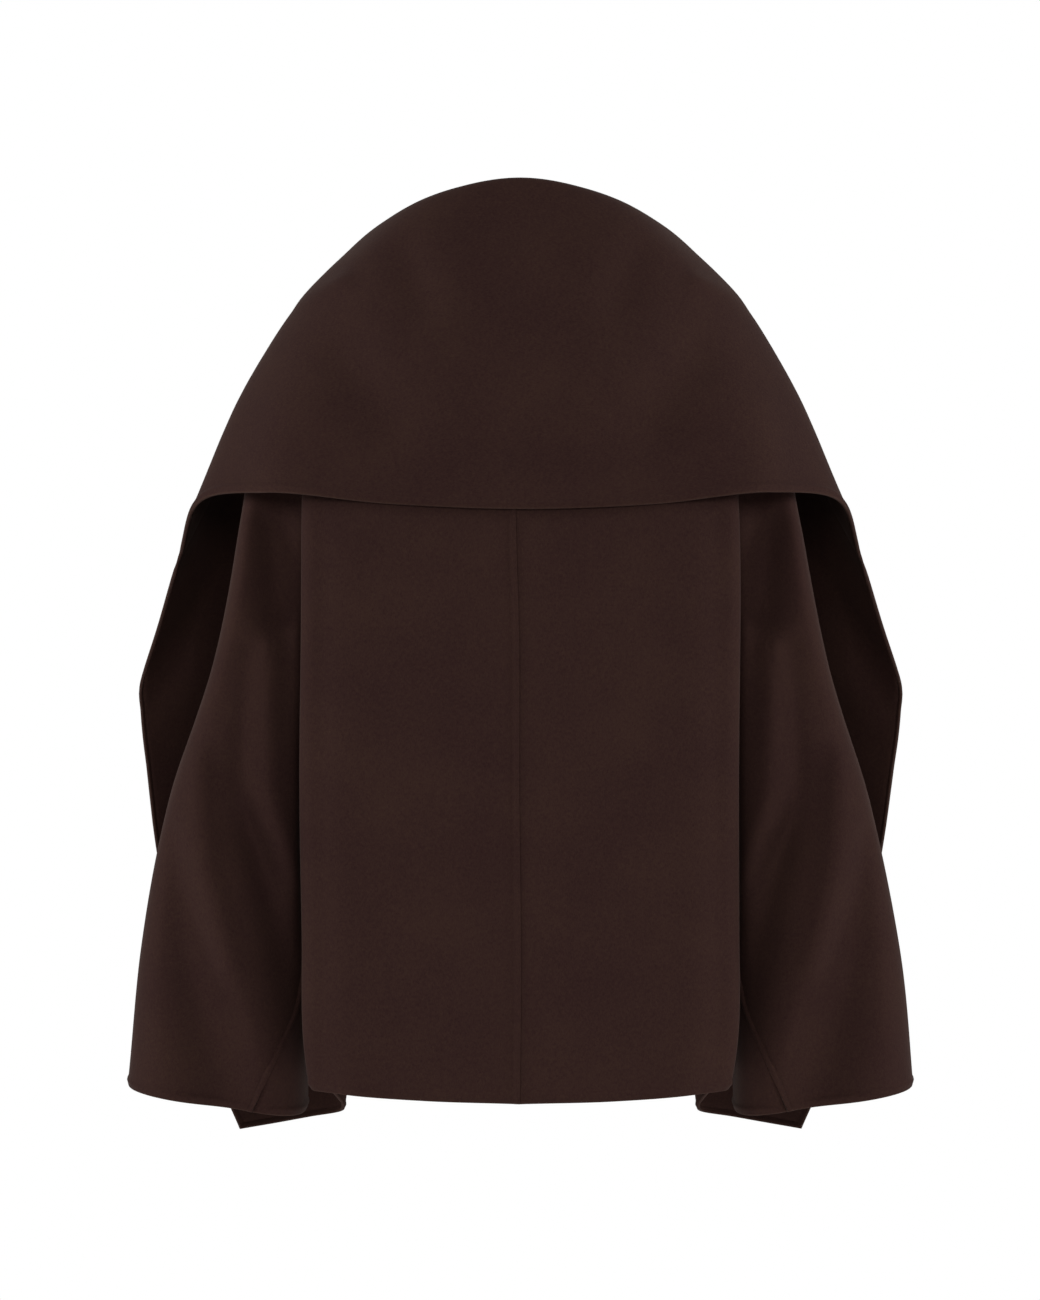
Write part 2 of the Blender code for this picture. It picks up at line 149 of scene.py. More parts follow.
# Soft folds and creases. Each is a line of (x, z, height, width) as seen from behind; a negative height
# is a hollow. First the hanging folds of the sleeve, on its back and on its front.
BACK_FOLDS = (
    ((22.3, -22.0, 0.7, 1.7), (21.4, -45.0, 0.7, 1.7)),
    ((22.2, -45.5, -0.7, 1.7), (18.2, -54.0, -0.7, 1.7)),
    ((27.2, -42.0, 0.6, 2.2), (24.2, -57.0, 0.6, 2.2)),
)
FRONT_FOLDS = (
    ((21.9, -20.0, -0.6, 1.9), (21.0, -42.0, -0.6, 1.9)),
    ((26.2, -36.0, -0.7, 2.3), (22.6, -60.0, -0.7, 2.3)),
)
SLEEVE_CREASES = (
    ((19.8, -16.0, -1.6, 2.6), (19.8, -27.0, -1.4, 2.4)),
    ((23.0, -17.0, 1.0, 1.6), (23.3, -24.0, 1.05, 1.5), (24.6, -30.0, 0.55, 1.3), (26.3, -36.0, 0.3, 1.2)),
    ((20.6, -31.0, 0.35, 0.9), (20.3, -43.0, 0.45, 0.9), (18.4, -50.0, 0.4, 0.8)),
    ((22.3, -31.0, -0.5, 1.1), (22.9, -42.0, -0.7, 1.1), (21.4, -49.0, -1.0, 1.3),
     (19.4, -57.0, -1.7, 1.7), (18.0, -64.0, -1.1, 1.5)),
    ((26.4, -40.0, 0.35, 1.0), (25.7, -49.0, 0.35, 1.0), (24.1, -56.0, 0.4, 1.2),
     (22.0, -62.5, 0.35, 1.3), (20.8, -68.0, 0.2, 1.2)),
    ((28.6, -46.0, -0.5, 0.9), (27.4, -55.5, -1.2, 2.0), (25.9, -62.5, -1.5, 2.6),
     (24.0, -69.0, -1.5, 3.0)),
)

# Collar and lapel, by the distance along the neck and front edge from centre back: (x, y, z) of the
# stand, the roll line, two places down the fall, and the free edge
SHAWL_ROWS = (
    (0.0, (0, -7.9, 5.2), (0, -9.4, 7.9), (0, -11.6, 4.6), (0, -14.4, -6.0), (0, -15.8, -19.6)),
    (5.5, (5.4, -6.4, 4.6), (5.9, -7.7, 6.9), (8.5, -10.0, 3.7), (10.0, -12.9, -6.5),
     (10.8, -14.9, -19.1)),
    (11.0, (9.0, -2.6, 3.0), (10.1, -3.9, 5.3), (13.8, -5.3, 2.2), (18.4, -8.6, -7.2),
     (20.6, -11.2, -18.1)),
    (14.5, (10.0, 0.8, 2.0), (11.8, 0.4, 4.2), (15.9, -0.6, 1.5), (22.55, -2.5, -7.85),
     (26.6, -4.0, -18.4)),
    (19.0, (10.2, 5.0, -0.8), (11.4, 5.6, 1.4), (16.0, 5.6, -1.8), (22.9, 4.2, -11.2),
     (29.3, 2.6, -23.4)),
    (25.0, (9.3, 9.5, -7.45), (9.6, 10.65, -5.95), (14.4, 11.3, -9.2), (23.25, 10.1, -17.7),
     (32.2, 6.9, -31.6)),
    (27.0, (9.1, 10.6, -9.8), (9.2, 11.8, -8.6), (14.0, 12.6, -11.8), (23.5, 11.4, -20.0),
     (33.1, 8.0, -34.2)),
    (29.5, (9.1, 11.5, -12.6), (9.1, 12.7, -11.8), (14.0, 13.6, -14.8), (23.8, 12.3, -22.7),
     (33.15, 8.3, -36.5)),
    (36.0, (9.7, 12.5, -19.6), (9.7, 13.5, -19.8), (14.8, 14.6, -22.2), (24.5, 12.6, -29.5),
     (32.6, 8.4, -41.5)),
    (48.5, (10.9, 13.3, -32.0), (10.9, 14.3, -32.2), (15.6, 15.0, -34.2), (24.6, 12.8, -40.5),
     (31.5, 9.0, -50.0)),
    (61.5, (12.4, 13.8, -45.1), (12.4, 14.7, -45.4), (16.9, 15.3, -46.9), (24.0, 13.6, -51.5),
     (29.6, 10.5, -59.0)),
    (74.0, (13.8, 13.7, -57.6), (13.8, 14.6, -58.0), (17.6, 15.2, -59.2), (23.0, 14.0, -62.3),
     (27.6, 12.0, -66.8)),
    (88.0, (15.7, 13.3, -71.35), (15.85, 14.1, -71.6), (18.7, 14.7, -72.2), (21.9, 14.2, -72.8),
     (25.0, 13.4, -73.35)),
)
SHAWL_STEPS = (8, 10, 18, 22, 28)

# How far the collar's lower edge hangs in against the back at the centre, the level where that begins,
# the height over which it grows and its reach to both sides
TUCK = 2.2
TUCK_TOP = -8.0
TUCK_FALL = 11.5
TUCK_REACH = 15.0

# The gorge seam between collar and lapel starts this many rows down the front edge from the neck's side
GORGE_ROWS = 24

# Creases of the collar, which has them on both halves, of the lapels and of the body panels
COLLAR_CREASES = (
    ((0.0, 3.5, -0.6, 2.6), (0.0, -8.5, -0.5, 2.6)),
    ((4.4, 1.5, 0.15, 2.2), (5.2, -15.0, 0.2, 2.2)),
    ((9.5, 1.5, -0.35, 1.8), (8.0, -2.5, -0.35, 1.8)),
    ((19.0, -2.6, 0.0, 1.2), (17.0, -1.6, 0.24, 1.0), (14.5, -0.7, 0.34, 0.9)),
    ((14.5, -7.0, -0.65, 2.7), (11.0, -12.5, -0.65, 2.7)),
    ((19.5, -11.5, 0.35, 2.0), (20.5, -15.5, 0.35, 2.0)),
)
LAPEL_CREASES = (
    ((34.0, -33.2, -1.3, 2.8), (24.0, -31.2, -1.4, 2.8)),
    ((34.0, -37.5, 0.3, 2.2), (25.5, -37.0, 0.3, 2.2)),
    ((24.5, -27.0, 0.35, 2.4), (21.0, -58.0, 0.35, 2.4)),
    ((18.5, -24.0, -0.4, 2.0), (18.0, -62.0, -0.4, 2.0)),
    ((28.0, -44.0, -0.4, 1.9), (25.5, -64.0, -0.4, 1.9)),
)
FRONT_CREASES = (
    ((13.4, -30.0, 0.25, 1.8), (15.2, -66.0, 0.25, 1.8)),
    ((16.2, -34.0, -0.2, 1.6), (16.8, -60.0, -0.2, 1.6)),
)
BACK_CREASES = (
    ((17.3, -18.0, 0.3, 0.9), (17.2, -66.0, 0.3, 0.9)),
    ((8.0, -24.0, 0.1, 3.0), (9.5, -60.0, 0.1, 3.0)),
    ((13.0, -30.0, -0.1, 2.6), (12.5, -62.0, -0.1, 2.6)),
)

# Rounds in which the grids are evened out, and how far beyond its crowded lines a grid is kept
RELAX_ROUNDS = 10
KEEP_BEYOND = 1.3

# Edges, in centimetres: the lines of the grid that lie close to a free edge and to a seam, the
# curl, ridge and swell of a pressed edge, the rolled rim of a seam and where creases fade towards it,
# and the raised lap of a seam with the groove beside it
FREE_LINES = (0.0, 0.012, 0.045, 0.09, 0.14, 0.22, 0.32, 0.42, 0.52, 0.62, 0.74, 0.9, 1.15)
SEAM_LINES = (0.0, 0.04, 0.1, 0.2, 0.3, 0.38, 0.46, 0.6, 0.8, 1.1)
EDGE_BAND = 0.55
EDGE_CURL = 0.1
EDGE_RIDGE = 0.09
EDGE_RIDGE_WIDTH = 0.17
EDGE_SWELL = 0.14
SEAM_ROUND = 0.05
SEAM_ROLL = 0.28
SEAM_FADE = 1.6
LAP_WIDTH = 0.46
LAP_STEP = 0.12
LAP_HEIGHT = 0.14
SLEEVE_LAP_HEIGHT = 0.24
GROOVE_DEPTH = 0.1
GROOVE_WIDTH = 0.24
GROOVE_STEP = 0.1

# Pick stitches along the free edges, in centimetres, and the share of the cloth's depth they lie at
STITCH_SET_IN = 0.6
STITCH_PITCH = 0.65
STITCH_LENGTH = 0.2
STITCH_WIDTH = 0.035
STITCH_SEAT = 0.96

# Unevenness of the whole hanging jacket: the axis it moves along, its height in centimetres, its waves
# across, deep and up in radians a centimetre, and its start
SWAYS = (
    (0, 0.07, (0.0, 0.09, 0.19), 1.1),
    (1, 0.04, (0.27, 0.0, -0.16), 1.1708),
    (1, -0.04, (0.27, 0.0, 0.16), 2.7708),
    (1, 0.035, (0.55, 0.0, -0.3), 0.0),
    (2, 0.05, (0.22, 0.0, 0.0), 2.0),
)

# The centre strays a little to one side at the collar's lower edge: by how far, at which level, and
# its reach up and down and to both sides
STRAY = -0.4
STRAY_LEVEL = -20.0
STRAY_TALL = 9.0
STRAY_WIDE = 4.0

# Finish: linear colours of the outer face of the cloth, of its inner face, a little darker as painted
# shade for the shade inside the jacket and under the lapels, and of its thread
FACE_BROWN = (0.0356, 0.0169, 0.0144)
SHADED_INNER_BROWN = (0.0310, 0.0146, 0.0122)
THREAD_BROWN = (0.024, 0.0115, 0.0098)
FLOOR_WHITE = (0.86, 0.86, 0.86)

# Camera, as the photograph was taken, in metres
CAMERA_BACK = 3.0
CAMERA_HEIGHT = -0.31
CAMERA_LENS = 97.8

# Floor, in metres, and the studio's light: what the white room gives, and for each soft light its
# place, what it is aimed at, its width and height in metres, and its watts
FLOOR_HEIGHT = -1.4
FLOOR_RADIUS = 2.8
ROOM_LIGHT = 0.12
LIGHTS = (
    ("back_fill", (0.0, -3.6, 0.6), (0.0, 0.0, -0.3), (1.4, 1.0), 40.0),
    ("left_softbox", (-2.85, -0.75, 0.95), (-0.1, 0.0, -0.3), (0.8, 1.4), 40.0),
    ("left_strip", (-2.2, 0.4, 0.0), (-0.1, 0.0, -0.35), (0.3, 2.0), 14.0),
    ("right_softbox", (2.85, -0.75, 0.95), (0.1, 0.0, -0.3), (0.8, 1.4), 40.0),
    ("right_strip", (2.2, 0.4, 0.0), (0.1, 0.0, -0.35), (0.3, 2.0), 14.0),
    ("front_fill", (0.0, 2.1, 2.2), (0.0, 0.0, -0.3), (2.6, 1.8), 32.0),
    ("floor_bounce", (0.0, -0.7, FLOOR_HEIGHT + 0.05), (0.0, 0.0, -0.3), (1.8, 1.2), 2.5),
)


def spline(keys, values, at):
    """Smooth curve through values at uneven keys, read at the places in at."""
    keys = np.asarray(keys, float)
    values = np.asarray(values, float)
    slopes = np.gradient(values, keys, axis=0)
    span = np.clip(np.searchsorted(keys, at, side="right") - 1, 0, len(keys) - 2)
    width = keys[span + 1] - keys[span]
    share = (at - keys[span]) / width
    shape = (-1,) + (1,) * (values.ndim - 1)
    share = share.reshape(shape)
    width = width.reshape(shape)
    rest = 1 - share
    return (values[span] * (1 + 2 * share) * rest ** 2 + values[span + 1] * (3 - 2 * share) * share ** 2
            + width * (slopes[span] * share * rest ** 2 - slopes[span + 1] * rest * share ** 2))


def stepped(keys, steps):
    """Keys with each span cut into its number of equal steps."""
    parts = [np.linspace(keys[i], keys[i + 1], count, endpoint=False) for i, count in enumerate(steps)]
    return np.append(np.concatenate(parts), keys[-1])


def distances(points):
    """Running length along a line of points."""
    return np.append(0.0, np.cumsum(np.linalg.norm(np.diff(points, axis=0), axis=1)))


def section(controls, steps):
    """Smooth line through a section's control points, with each span cut into its steps."""
    keys = distances(controls)
    return spline(keys, controls, stepped(keys, steps))


def read_along(line, reach, at):
    """Points of a line at the running lengths in at."""
    return np.stack([np.interp(at, reach, line[:, axis]) for axis in range(3)], axis=1)


def evened(line, steps):
    """The same line with its points at equal distances."""
    reach = distances(line)
    return read_along(line, reach, np.linspace(0.0, reach[-1], steps + 1))


def unit(vectors):
    """Vectors brought to length 1."""
    return vectors / np.linalg.norm(vectors, axis=-1, keepdims=True)


def ease(share):
    """Smooth step from 0 to 1."""
    share = np.clip(share, 0.0, 1.0)
    return share * share * (3 - 2 * share)


def sleeve_point(outer, inner, back_y, front_y, square, angles):
    """Points round one ring of the sleeve: 0 degrees on its top line, 90 in front, 180 under the arm."""
    turn = np.radians(angles)
    power = 2.0 / square
    across = np.sign(np.cos(turn)) * np.abs(np.cos(turn)) ** power
    deep = np.sign(np.sin(turn)) * np.abs(np.sin(turn)) ** power
    points = (outer + inner) / 2 + across[:, None] * (outer - inner) / 2
    points[:, 1] = (back_y + front_y) / 2 + deep * (front_y - back_y) / 2
    return points, deep


def armhole_points(angles):
    """Points of the armhole, which lies in an upright plane."""
    outer = np.array((SLEEVE.outer_x[0], 0.0, SLEEVE.outer_z[0]))
    inner = np.array((SLEEVE.inner_x[0], 0.0, SLEEVE.inner_z[0]))
    return sleeve_point(outer, inner, SLEEVE.back_y[0], SLEEVE.front_y[0], SLEEVE.square[0],
                        np.asarray(angles, float))[0]


def body_rows(sections, turn_sign):
    """Rows of a body panel, from the hem to the shoulder seam, with the edge held to the armhole."""
    sections = np.array(sections)
    keys = np.append(0.0, np.cumsum(np.linalg.norm(np.diff(sections, axis=0), axis=2).mean(axis=1)))
    points = spline(keys, sections, stepped(keys, ROW_STEPS))
    below = len(SIDE_LEVELS) - 1
    turns = np.array((0.0,) + ARMHOLE_TURNS + (UNDERARM,))
    first = sum(ROW_STEPS[:below])
    angles = UNDERARM + turn_sign * stepped(turns, ROW_STEPS[below:])
    points[:first + 1, -1] = (SIDE_X, SIDE_Y, 0.0)
    points[:first + 1, -1, 2] = stepped(SIDE_LEVELS, ROW_STEPS[:below])
    points[first:, -1] = armhole_points(angles)
    return points


def edge_points(turn_sign):
    """Side seam and armhole points that the rows of a body panel end on, below the shoulder seam."""
    side = [np.array((SIDE_X, SIDE_Y, level)) for level in SIDE_LEVELS]
    side[-1] = armhole_points((UNDERARM,))[0]
    return side + list(armhole_points(UNDERARM + turn_sign * np.array(ARMHOLE_TURNS)))


def shoulder_seam(steps):
    """Points of the shoulder seam, from the neck to the tip of the shoulder."""
    tip = armhole_points((0.0,))[0]
    share = np.linspace(0.0, 1.0, steps + 1)[:, None]
    return NECK_SIDE + share * (tip - NECK_SIDE)


def neckline():
    """Points of the back neckline, a quarter of an oval from the nape to the side of the neck."""
    turn = np.linspace(0.0, np.pi / 2, sum(BACK_STEPS[:2]) + 1)
    across = NECK_SIDE[0] * np.sin(turn)
    deep = NECK_SIDE[1] + (NAPE[1] - NECK_SIDE[1]) * np.cos(turn)
    rise = (NECK_SIDE[2] - NAPE[2]) * (1 - np.cos(turn))
    return np.stack((across, deep, NAPE[2] + rise), axis=1)


def back_grid():
    """Right back panel: sections from the centre round the side roll to the side seam and armhole."""
    rows = []
    for i, edge in enumerate(edge_points(1.0)):
        level = BACK.centre_z[i] + (edge[2] - BACK.centre_z[i]) * np.array(BACK_DROP)
        quarter_y = BACK.centre_y[i] + QUARTER_Y * (BACK.blade_y[i] - BACK.centre_y[i])
        x = (0.0, QUARTER_X * BACK.roll_x[i], BLADE_X * BACK.roll_x[i], BACK.roll_x[i], BACK.valley_x[i],
             edge[0])
        y = (BACK.centre_y[i], quarter_y, BACK.blade_y[i], BACK.roll_y[i], BACK.valley_y[i], edge[1])
        rows.append(section(np.stack((x, y, level), axis=1), BACK_STEPS))
    rows.append(np.concatenate((neckline(), shoulder_seam(sum(BACK_STEPS[2:]))[1:])))
    return body_rows(rows, 1.0)


def front_grid():
    """Right front panel: sections from the front edge to the side seam and armhole."""
    rows = []
    for i, edge in enumerate(edge_points(-1.0)):
        level = FRONT.front_z[i] + (edge[2] - FRONT.front_z[i]) * np.array(FRONT_DROP)
        x = (FRONT.front_x[i], FRONT.chest_x[i], FRONT.bend_x[i], edge[0])
        y = (FRONT.front_y[i], FRONT.chest_y[i], FRONT.bend_y[i], edge[1])
        rows.append(section(np.stack((x, y, level), axis=1), FRONT_STEPS))
    rows.append(shoulder_seam(sum(FRONT_STEPS)))
    return body_rows(rows, -1.0)


def crease_height(creases, points):
    """How far creases lift the cloth at points; each has its height along its line and fades beside it."""
    flat = np.stack((np.abs(points[..., 0]), points[..., 2]), axis=-1)
    lift = np.zeros(points.shape[:-1])
    for crease in creases:
        nodes = np.array(crease)
        nearest = np.full(lift.shape, np.inf)
        shape = np.zeros(lift.shape + (2,))
        for start, end in zip(nodes[:-1], nodes[1:]):
            run = end[:2] - start[:2]
            share = np.clip(((flat - start[:2]) @ run) / (run @ run), 0.0, 1.0)[..., None]
            away = np.linalg.norm(flat - start[:2] - share * run, axis=-1)
            shape = np.where((away < nearest)[..., None], start[2:] + share * (end[2:] - start[2:]), shape)
            nearest = np.minimum(away, nearest)
        lift += shape[..., 0] * np.exp(-(nearest / shape[..., 1]) ** 2)
    return lift


def sleeve_grid(from_angles, to_angles, steps):
    """Part of the sleeve between two of its long seams, whose angles are given for each ring."""
    keys = np.arange(len(SLEEVE.outer_x), dtype=float)
    at = np.linspace(0.0, keys[-1], SLEEVE_RINGS)
    read = {name: spline(keys, values, at) for name, values in vars(SLEEVE).items()}
    rings = []
    for i in range(SLEEVE_RINGS):
        outer = np.array((read["outer_x"][i], 0.0, read["outer_z"][i]))
        inner = np.array((read["inner_x"][i], 0.0, read["inner_z"][i]))
        angles = np.linspace(from_angles[i], to_angles[i], steps * RING_DETAIL + 1)
        ring, deep = sleeve_point(outer, inner, read["back_y"][i], read["front_y"][i],
                                  read["square"][i], angles)
        hind = crease_height(BACK_FOLDS, ring) + crease_height(SLEEVE_CREASES, ring)
        loose = ease(at[i] / FOLD_START)
        ring[:, 1] -= loose * hind * np.clip(-FOLD_REACH * deep, 0.0, 1.0)
        ring[:, 1] += loose * crease_height(FRONT_FOLDS, ring) * np.clip(deep, 0.0, 1.0)
        rings.append(evened(ring, steps))
    return np.array(rings)


def sleeve_grids():
    """The upper and the under part of the right sleeve."""
    share = np.linspace(0.0, 1.0, SLEEVE_RINGS)
    hind = spline(SEAMS.share, SEAMS.hind, share)
    fore = spline(SEAMS.share, SEAMS.fore, share)
    return sleeve_grid(hind, fore + 360.0, UPPER_STEPS), sleeve_grid(fore, hind, UNDER_STEPS)


def shawl_grid(attach):
    """Collar and lapel surface: a section from each point of the neck and front edge outwards."""
    keys = np.array([row[0] for row in SHAWL_ROWS])
    values = np.array([row[1:] for row in SHAWL_ROWS], float)
    keys = np.append(-keys[1], keys)
    values = np.concatenate((values[1:2] * MIRROR, values))
    controls = spline(keys, values, distances(attach))
    rows = [section(np.concatenate((attach[i:i + 1], controls[i])), SHAWL_STEPS)
            for i in range(len(attach))]
    return np.array(rows)


def tuck(grid):
    """Let the collar's lower edge hang in against the back, most at the centre."""
    drop = ease((TUCK_TOP - grid[..., 2]) / TUCK_FALL)
    near_centre = np.exp(-(grid[..., 0] / TUCK_REACH) ** 4)
    grid[..., 1] += TUCK * drop * near_centre
    return grid


def relax(grid):
    """Even out the bends of a grid's inner points, with its four edges held."""
    inside = np.zeros(grid.shape[:2] + (1,))
    inside[1:-1, 1:-1] = 1.0
    for _ in range(RELAX_ROUNDS):
        grid[1:-1] += (grid[:-2] - 2 * grid[1:-1] + grid[2:]) / 4 * inside[1:-1]
        grid[:, 1:-1] += (grid[:, :-2] - 2 * grid[:, 1:-1] + grid[:, 2:]) / 4 * inside[:, 1:-1]
    return grid


def running_lengths(grid):
    """Running length down every column of a grid."""
    steps = np.linalg.norm(np.diff(grid, axis=0), axis=2)
    return np.concatenate((np.zeros((1, grid.shape[1])), np.cumsum(steps, axis=0)))


def crowd_rows(grid, lines):
    """Put a grid's first rows at the given distances from its first edge, and keep those well beyond.

    Two grids that share both end columns keep the same rows.
    """
    reach = running_lengths(grid)
    beyond = reach[:, (0, -1)].min(axis=1) > lines[-1] * KEEP_BEYOND
    keep = int(np.argmax(beyond & (reach.min(axis=1) > lines[-1])))
    columns = [spline(reach[:keep + 3, j], grid[:keep + 3, j], np.array(lines))
               for j in range(grid.shape[1])]
    return np.concatenate((np.stack(columns, axis=1), grid[keep:]))


def crowd(grid, first_row=None, last_row=None, first_column=None, last_column=None):
    """Crowd a grid's lines towards those of its edges for which distances are given."""
    if first_row:
        grid = crowd_rows(grid, first_row)
    if last_row:
        grid = crowd_rows(grid[::-1], last_row)[::-1]
    if first_column:
        grid = crowd_rows(grid.transpose(1, 0, 2), first_column).transpose(1, 0, 2)
    if last_column:
        grid = crowd_rows(grid.transpose(1, 0, 2)[::-1], last_column)[::-1].transpose(1, 0, 2)
    return grid


def edge_distances(grid):
    """Distance of every grid point from the first and last row and the first and last column."""
    down = running_lengths(grid)
    across = running_lengths(grid.transpose(1, 0, 2)).T
    return {"first_row": down, "last_row": down[-1:] - down,
            "first_column": across, "last_column": across[:, -1:] - across}


def face_normals(points, outside):
    """The way the outer face looks at each point of a grid."""
    normals = unit(np.cross(np.gradient(points, axis=1), np.gradient(points, axis=0)))
    middle = normals[points.shape[0] // 2, points.shape[1] // 2]
    return -normals if np.dot(middle, outside) < 0 else normals


def cut_piece(grid, outside, free_edges, creases=None):
    """A cut piece with its pressed free edges, its soft creases and its size as it was cut."""
    away = edge_distances(grid)
    seams = [away[edge] for edge in away if edge not in free_edges]
    from_seam = np.min(seams, axis=0)
    from_free = np.min([away[edge] for edge in free_edges], axis=0)
    normals = face_normals(grid, outside)
    lift = -EDGE_CURL * np.clip(1 - from_free / EDGE_BAND, 0.0, 1.0) ** 2
    lift += EDGE_RIDGE * np.exp(-((from_free - EDGE_BAND) / EDGE_RIDGE_WIDTH) ** 2)
    if creases is not None:
        lift += crease_height(creases, grid)
    points = grid + normals * (lift * ease(from_seam / SEAM_FADE))[..., None]
    widths, lengths = away["first_column"][:, -1], away["first_row"][-1]
    sides = np.cross(points[1:, 1:] - points[:-1, :-1], points[1:, :-1] - points[:-1, 1:])
    return SimpleNamespace(
        points=points, normals=face_normals(points, outside), from_free=from_free, from_seam=from_seam,
        away=away, free_edges=free_edges, lap=np.zeros(grid.shape[:2]),
        flat=(float(widths.max() * CM), float(lengths.max() * CM)),
        area=float(np.linalg.norm(sides, axis=2).sum() / 2 * CM * CM))


def seam(line, first_inside, second_inside):
    """Mitre of two pieces that meet along a line: the way both rims face, and the way to the first."""
    along = unit(np.gradient(line, axis=0))
    ways = []
    for inside in (first_inside, second_inside):
        way = inside - line
        ways.append(unit(way - along * np.sum(way * along, axis=-1, keepdims=True)))
    apart = unit(ways[0] - ways[1])
    return unit(np.cross(along, apart)), apart


def trim(piece, edge, facing, apart):
    """Turn a piece's rim to its seam's mitre, at full thickness, and move it half the gap away."""
    cosine = np.sum(piece.normals[edge] * facing, axis=-1, keepdims=True)
    stretch = 1.0 / np.clip(np.abs(cosine), MITRE_LIMIT, 1.0)
    piece.normals[edge] = facing * np.sign(cosine) * stretch
    piece.points[edge] = piece.points[edge] + apart * SEAM_GAP / 2


def join(first, first_edge, first_inside, second, second_edge, second_inside):
    """Mitre two pieces along a seam whose points they share."""
    facing, apart = seam(first.points[first_edge], first.points[first_inside],
                         second.points[second_inside])
    trim(first, first_edge, facing, apart)
    trim(second, second_edge, facing, -apart)


def meet_centre(piece, edge):
    """Turn an edge square to the centre plane, and press it just past that plane."""
    piece.normals[edge] = unit(piece.normals[edge] * (0.0, 1.0, 1.0))
    piece.points[edge][:, 0] = -SEAM_GAP / 2


class Wire:
    """A socket of a shader, or its tree alone: sums on it add Math nodes, and add() any other node."""

    def __init__(self, tree, socket=None):
        self.tree = tree
        self.socket = socket

    def add(self, kind, inputs=None, output=0, stops=None, **settings):
        node = self.tree.nodes.new(kind)
        for name, value in settings.items():
            setattr(node, name, value)
        if stops:
            while len(node.color_ramp.elements) < len(stops):
                node.color_ramp.elements.new(0.5)
            for element, (place, colour) in zip(node.color_ramp.elements, stops):
                element.position = place
                element.color = colour
        for key, value in (inputs or {}).items():
            if isinstance(value, Wire):
                self.tree.links.new(value.socket, node.inputs[key])
            else:
                node.inputs[key].default_value = value
        return Wire(self.tree, node.outputs[output])

    def sum_of(self, operation, first, second):
        return self.add("ShaderNodeMath", {0: first, 1: second}, operation=operation)

    def __add__(self, other):
        return self.sum_of("ADD", self, other)

    def __sub__(self, other):
        return self.sum_of("SUBTRACT", self, other)

    def __rsub__(self, other):
        return self.sum_of("SUBTRACT", other, self)

    def __mul__(self, other):
        return self.sum_of("MULTIPLY", self, other)

    __radd__ = __add__
    __rmul__ = __mul__


def tinted(colour, gain):
    """A colour made lighter or darker, with its alpha."""
    return tuple(channel * gain for channel in colour) + (1.0,)


def new_shader(name, colour):
    """A material with its Principled shader and its tree."""
    made = bpy.data.materials.new(name)
    made.use_nodes = True
    made.diffuse_color = (*colour, 1.0)
    shader = made.node_tree.nodes["Principled BSDF"]
    return made, shader, Wire(made.node_tree)


def link(wire, shader, name):
    """Lead a wire to one of the shader's sockets."""
    wire.tree.links.new(wire.socket, shader.inputs[name])


def brushed_wool(name, colour, sheen):
    """Melton-finished double-faced wool: felted nap brushed downwards, mottled, with loose fibres, and a
    painted highlight along its free edges.
    """
    made, shader, tree = new_shader(name, colour)
    place = tree.add("ShaderNodeTexCoord", output="Object")
    weave = tree.add("ShaderNodeUVMap", uv_map="cut")
    brushed = tree.add("ShaderNodeMapping", {"Vector": weave, "Scale": (1.0, 0.28, 1.0)})
    cloudy = tree.add("ShaderNodeTexNoise", {"Vector": place, "Scale": 16.0, "Detail": 3.0})
    flecks = tree.add("ShaderNodeTexNoise", {"Vector": place, "Scale": 330.0, "Detail": 2.0})
    fibres = tree.add("ShaderNodeTexNoise", {"Vector": brushed, "Scale": 1500.0, "Detail": 3.0,
                                             "Distortion": 0.6})
    felt = tree.add("ShaderNodeTexNoise", {"Vector": place, "Scale": 620.0, "Detail": 4.0,
                                           "Roughness": 0.7})
    edge = tree.add("ShaderNodeAttribute", attribute_name="edge_distance", output="Fac")
    # A band up to 1.8 mm wide along the free edges is lightened, up to the ramp's top stop: a painted
    # highlight of the edge catching the light
    painted_rim_highlight = tree.add("ShaderNodeMapRange", {"Value": edge, "From Min": 0.0, "From Max": 0.0018,
                                              "To Min": 1.0, "To Max": 0.0})
    shade = cloudy * 0.34 + flecks * 0.3 + fibres * 0.6 + felt * 0.6 + painted_rim_highlight * 0.5
    red, green, blue = colour
    tone = tree.add("ShaderNodeValToRGB", {"Fac": shade - 0.39}, stops=[
        (0.25, (red * 0.76, green * 0.68, blue * 0.78, 1.0)), (0.5, tinted(colour, 1.0)),
        (0.75, (red * 1.3, green * 1.38, blue * 1.2, 1.0)),
        (1.0, (red * 1.6, green * 1.9, blue * 1.9, 1.0))])
    link(tone, shader, "Base Color")
    link(0.84 + felt * 0.12, shader, "Roughness")
    surface = felt * 0.55 + fibres * 0.35 + flecks * 0.5
    bump = tree.add("ShaderNodeBump", {"Height": surface, "Strength": 0.55, "Distance": 0.00045})
    link(bump, shader, "Normal")
    shader.inputs["Sheen Weight"].default_value = sheen
    shader.inputs["Sheen Roughness"].default_value = 0.3
    shader.inputs["Sheen Tint"].default_value = (1.0, 0.85, 0.75, 1.0)
    shader.inputs["Specular IOR Level"].default_value = 0.05
    return made


def spun_thread():
    """Wool thread of the pick stitches, in two plies."""
    made, shader, tree = new_shader("spun_thread", THREAD_BROWN)
    place = tree.add("ShaderNodeTexCoord", output="Object")
    plies = tree.add("ShaderNodeTexWave", {"Vector": place, "Scale": 900.0, "Distortion": 1.5})
    tone = tree.add("ShaderNodeValToRGB", {"Fac": plies}, stops=[
        (0.2, tinted(THREAD_BROWN, 0.75)), (0.9, tinted(THREAD_BROWN, 1.2))])
    link(tone, shader, "Base Color")
    link(0.8 + plies * 0.15, shader, "Roughness")
    shader.inputs["Specular IOR Level"].default_value = 0.1
    return made


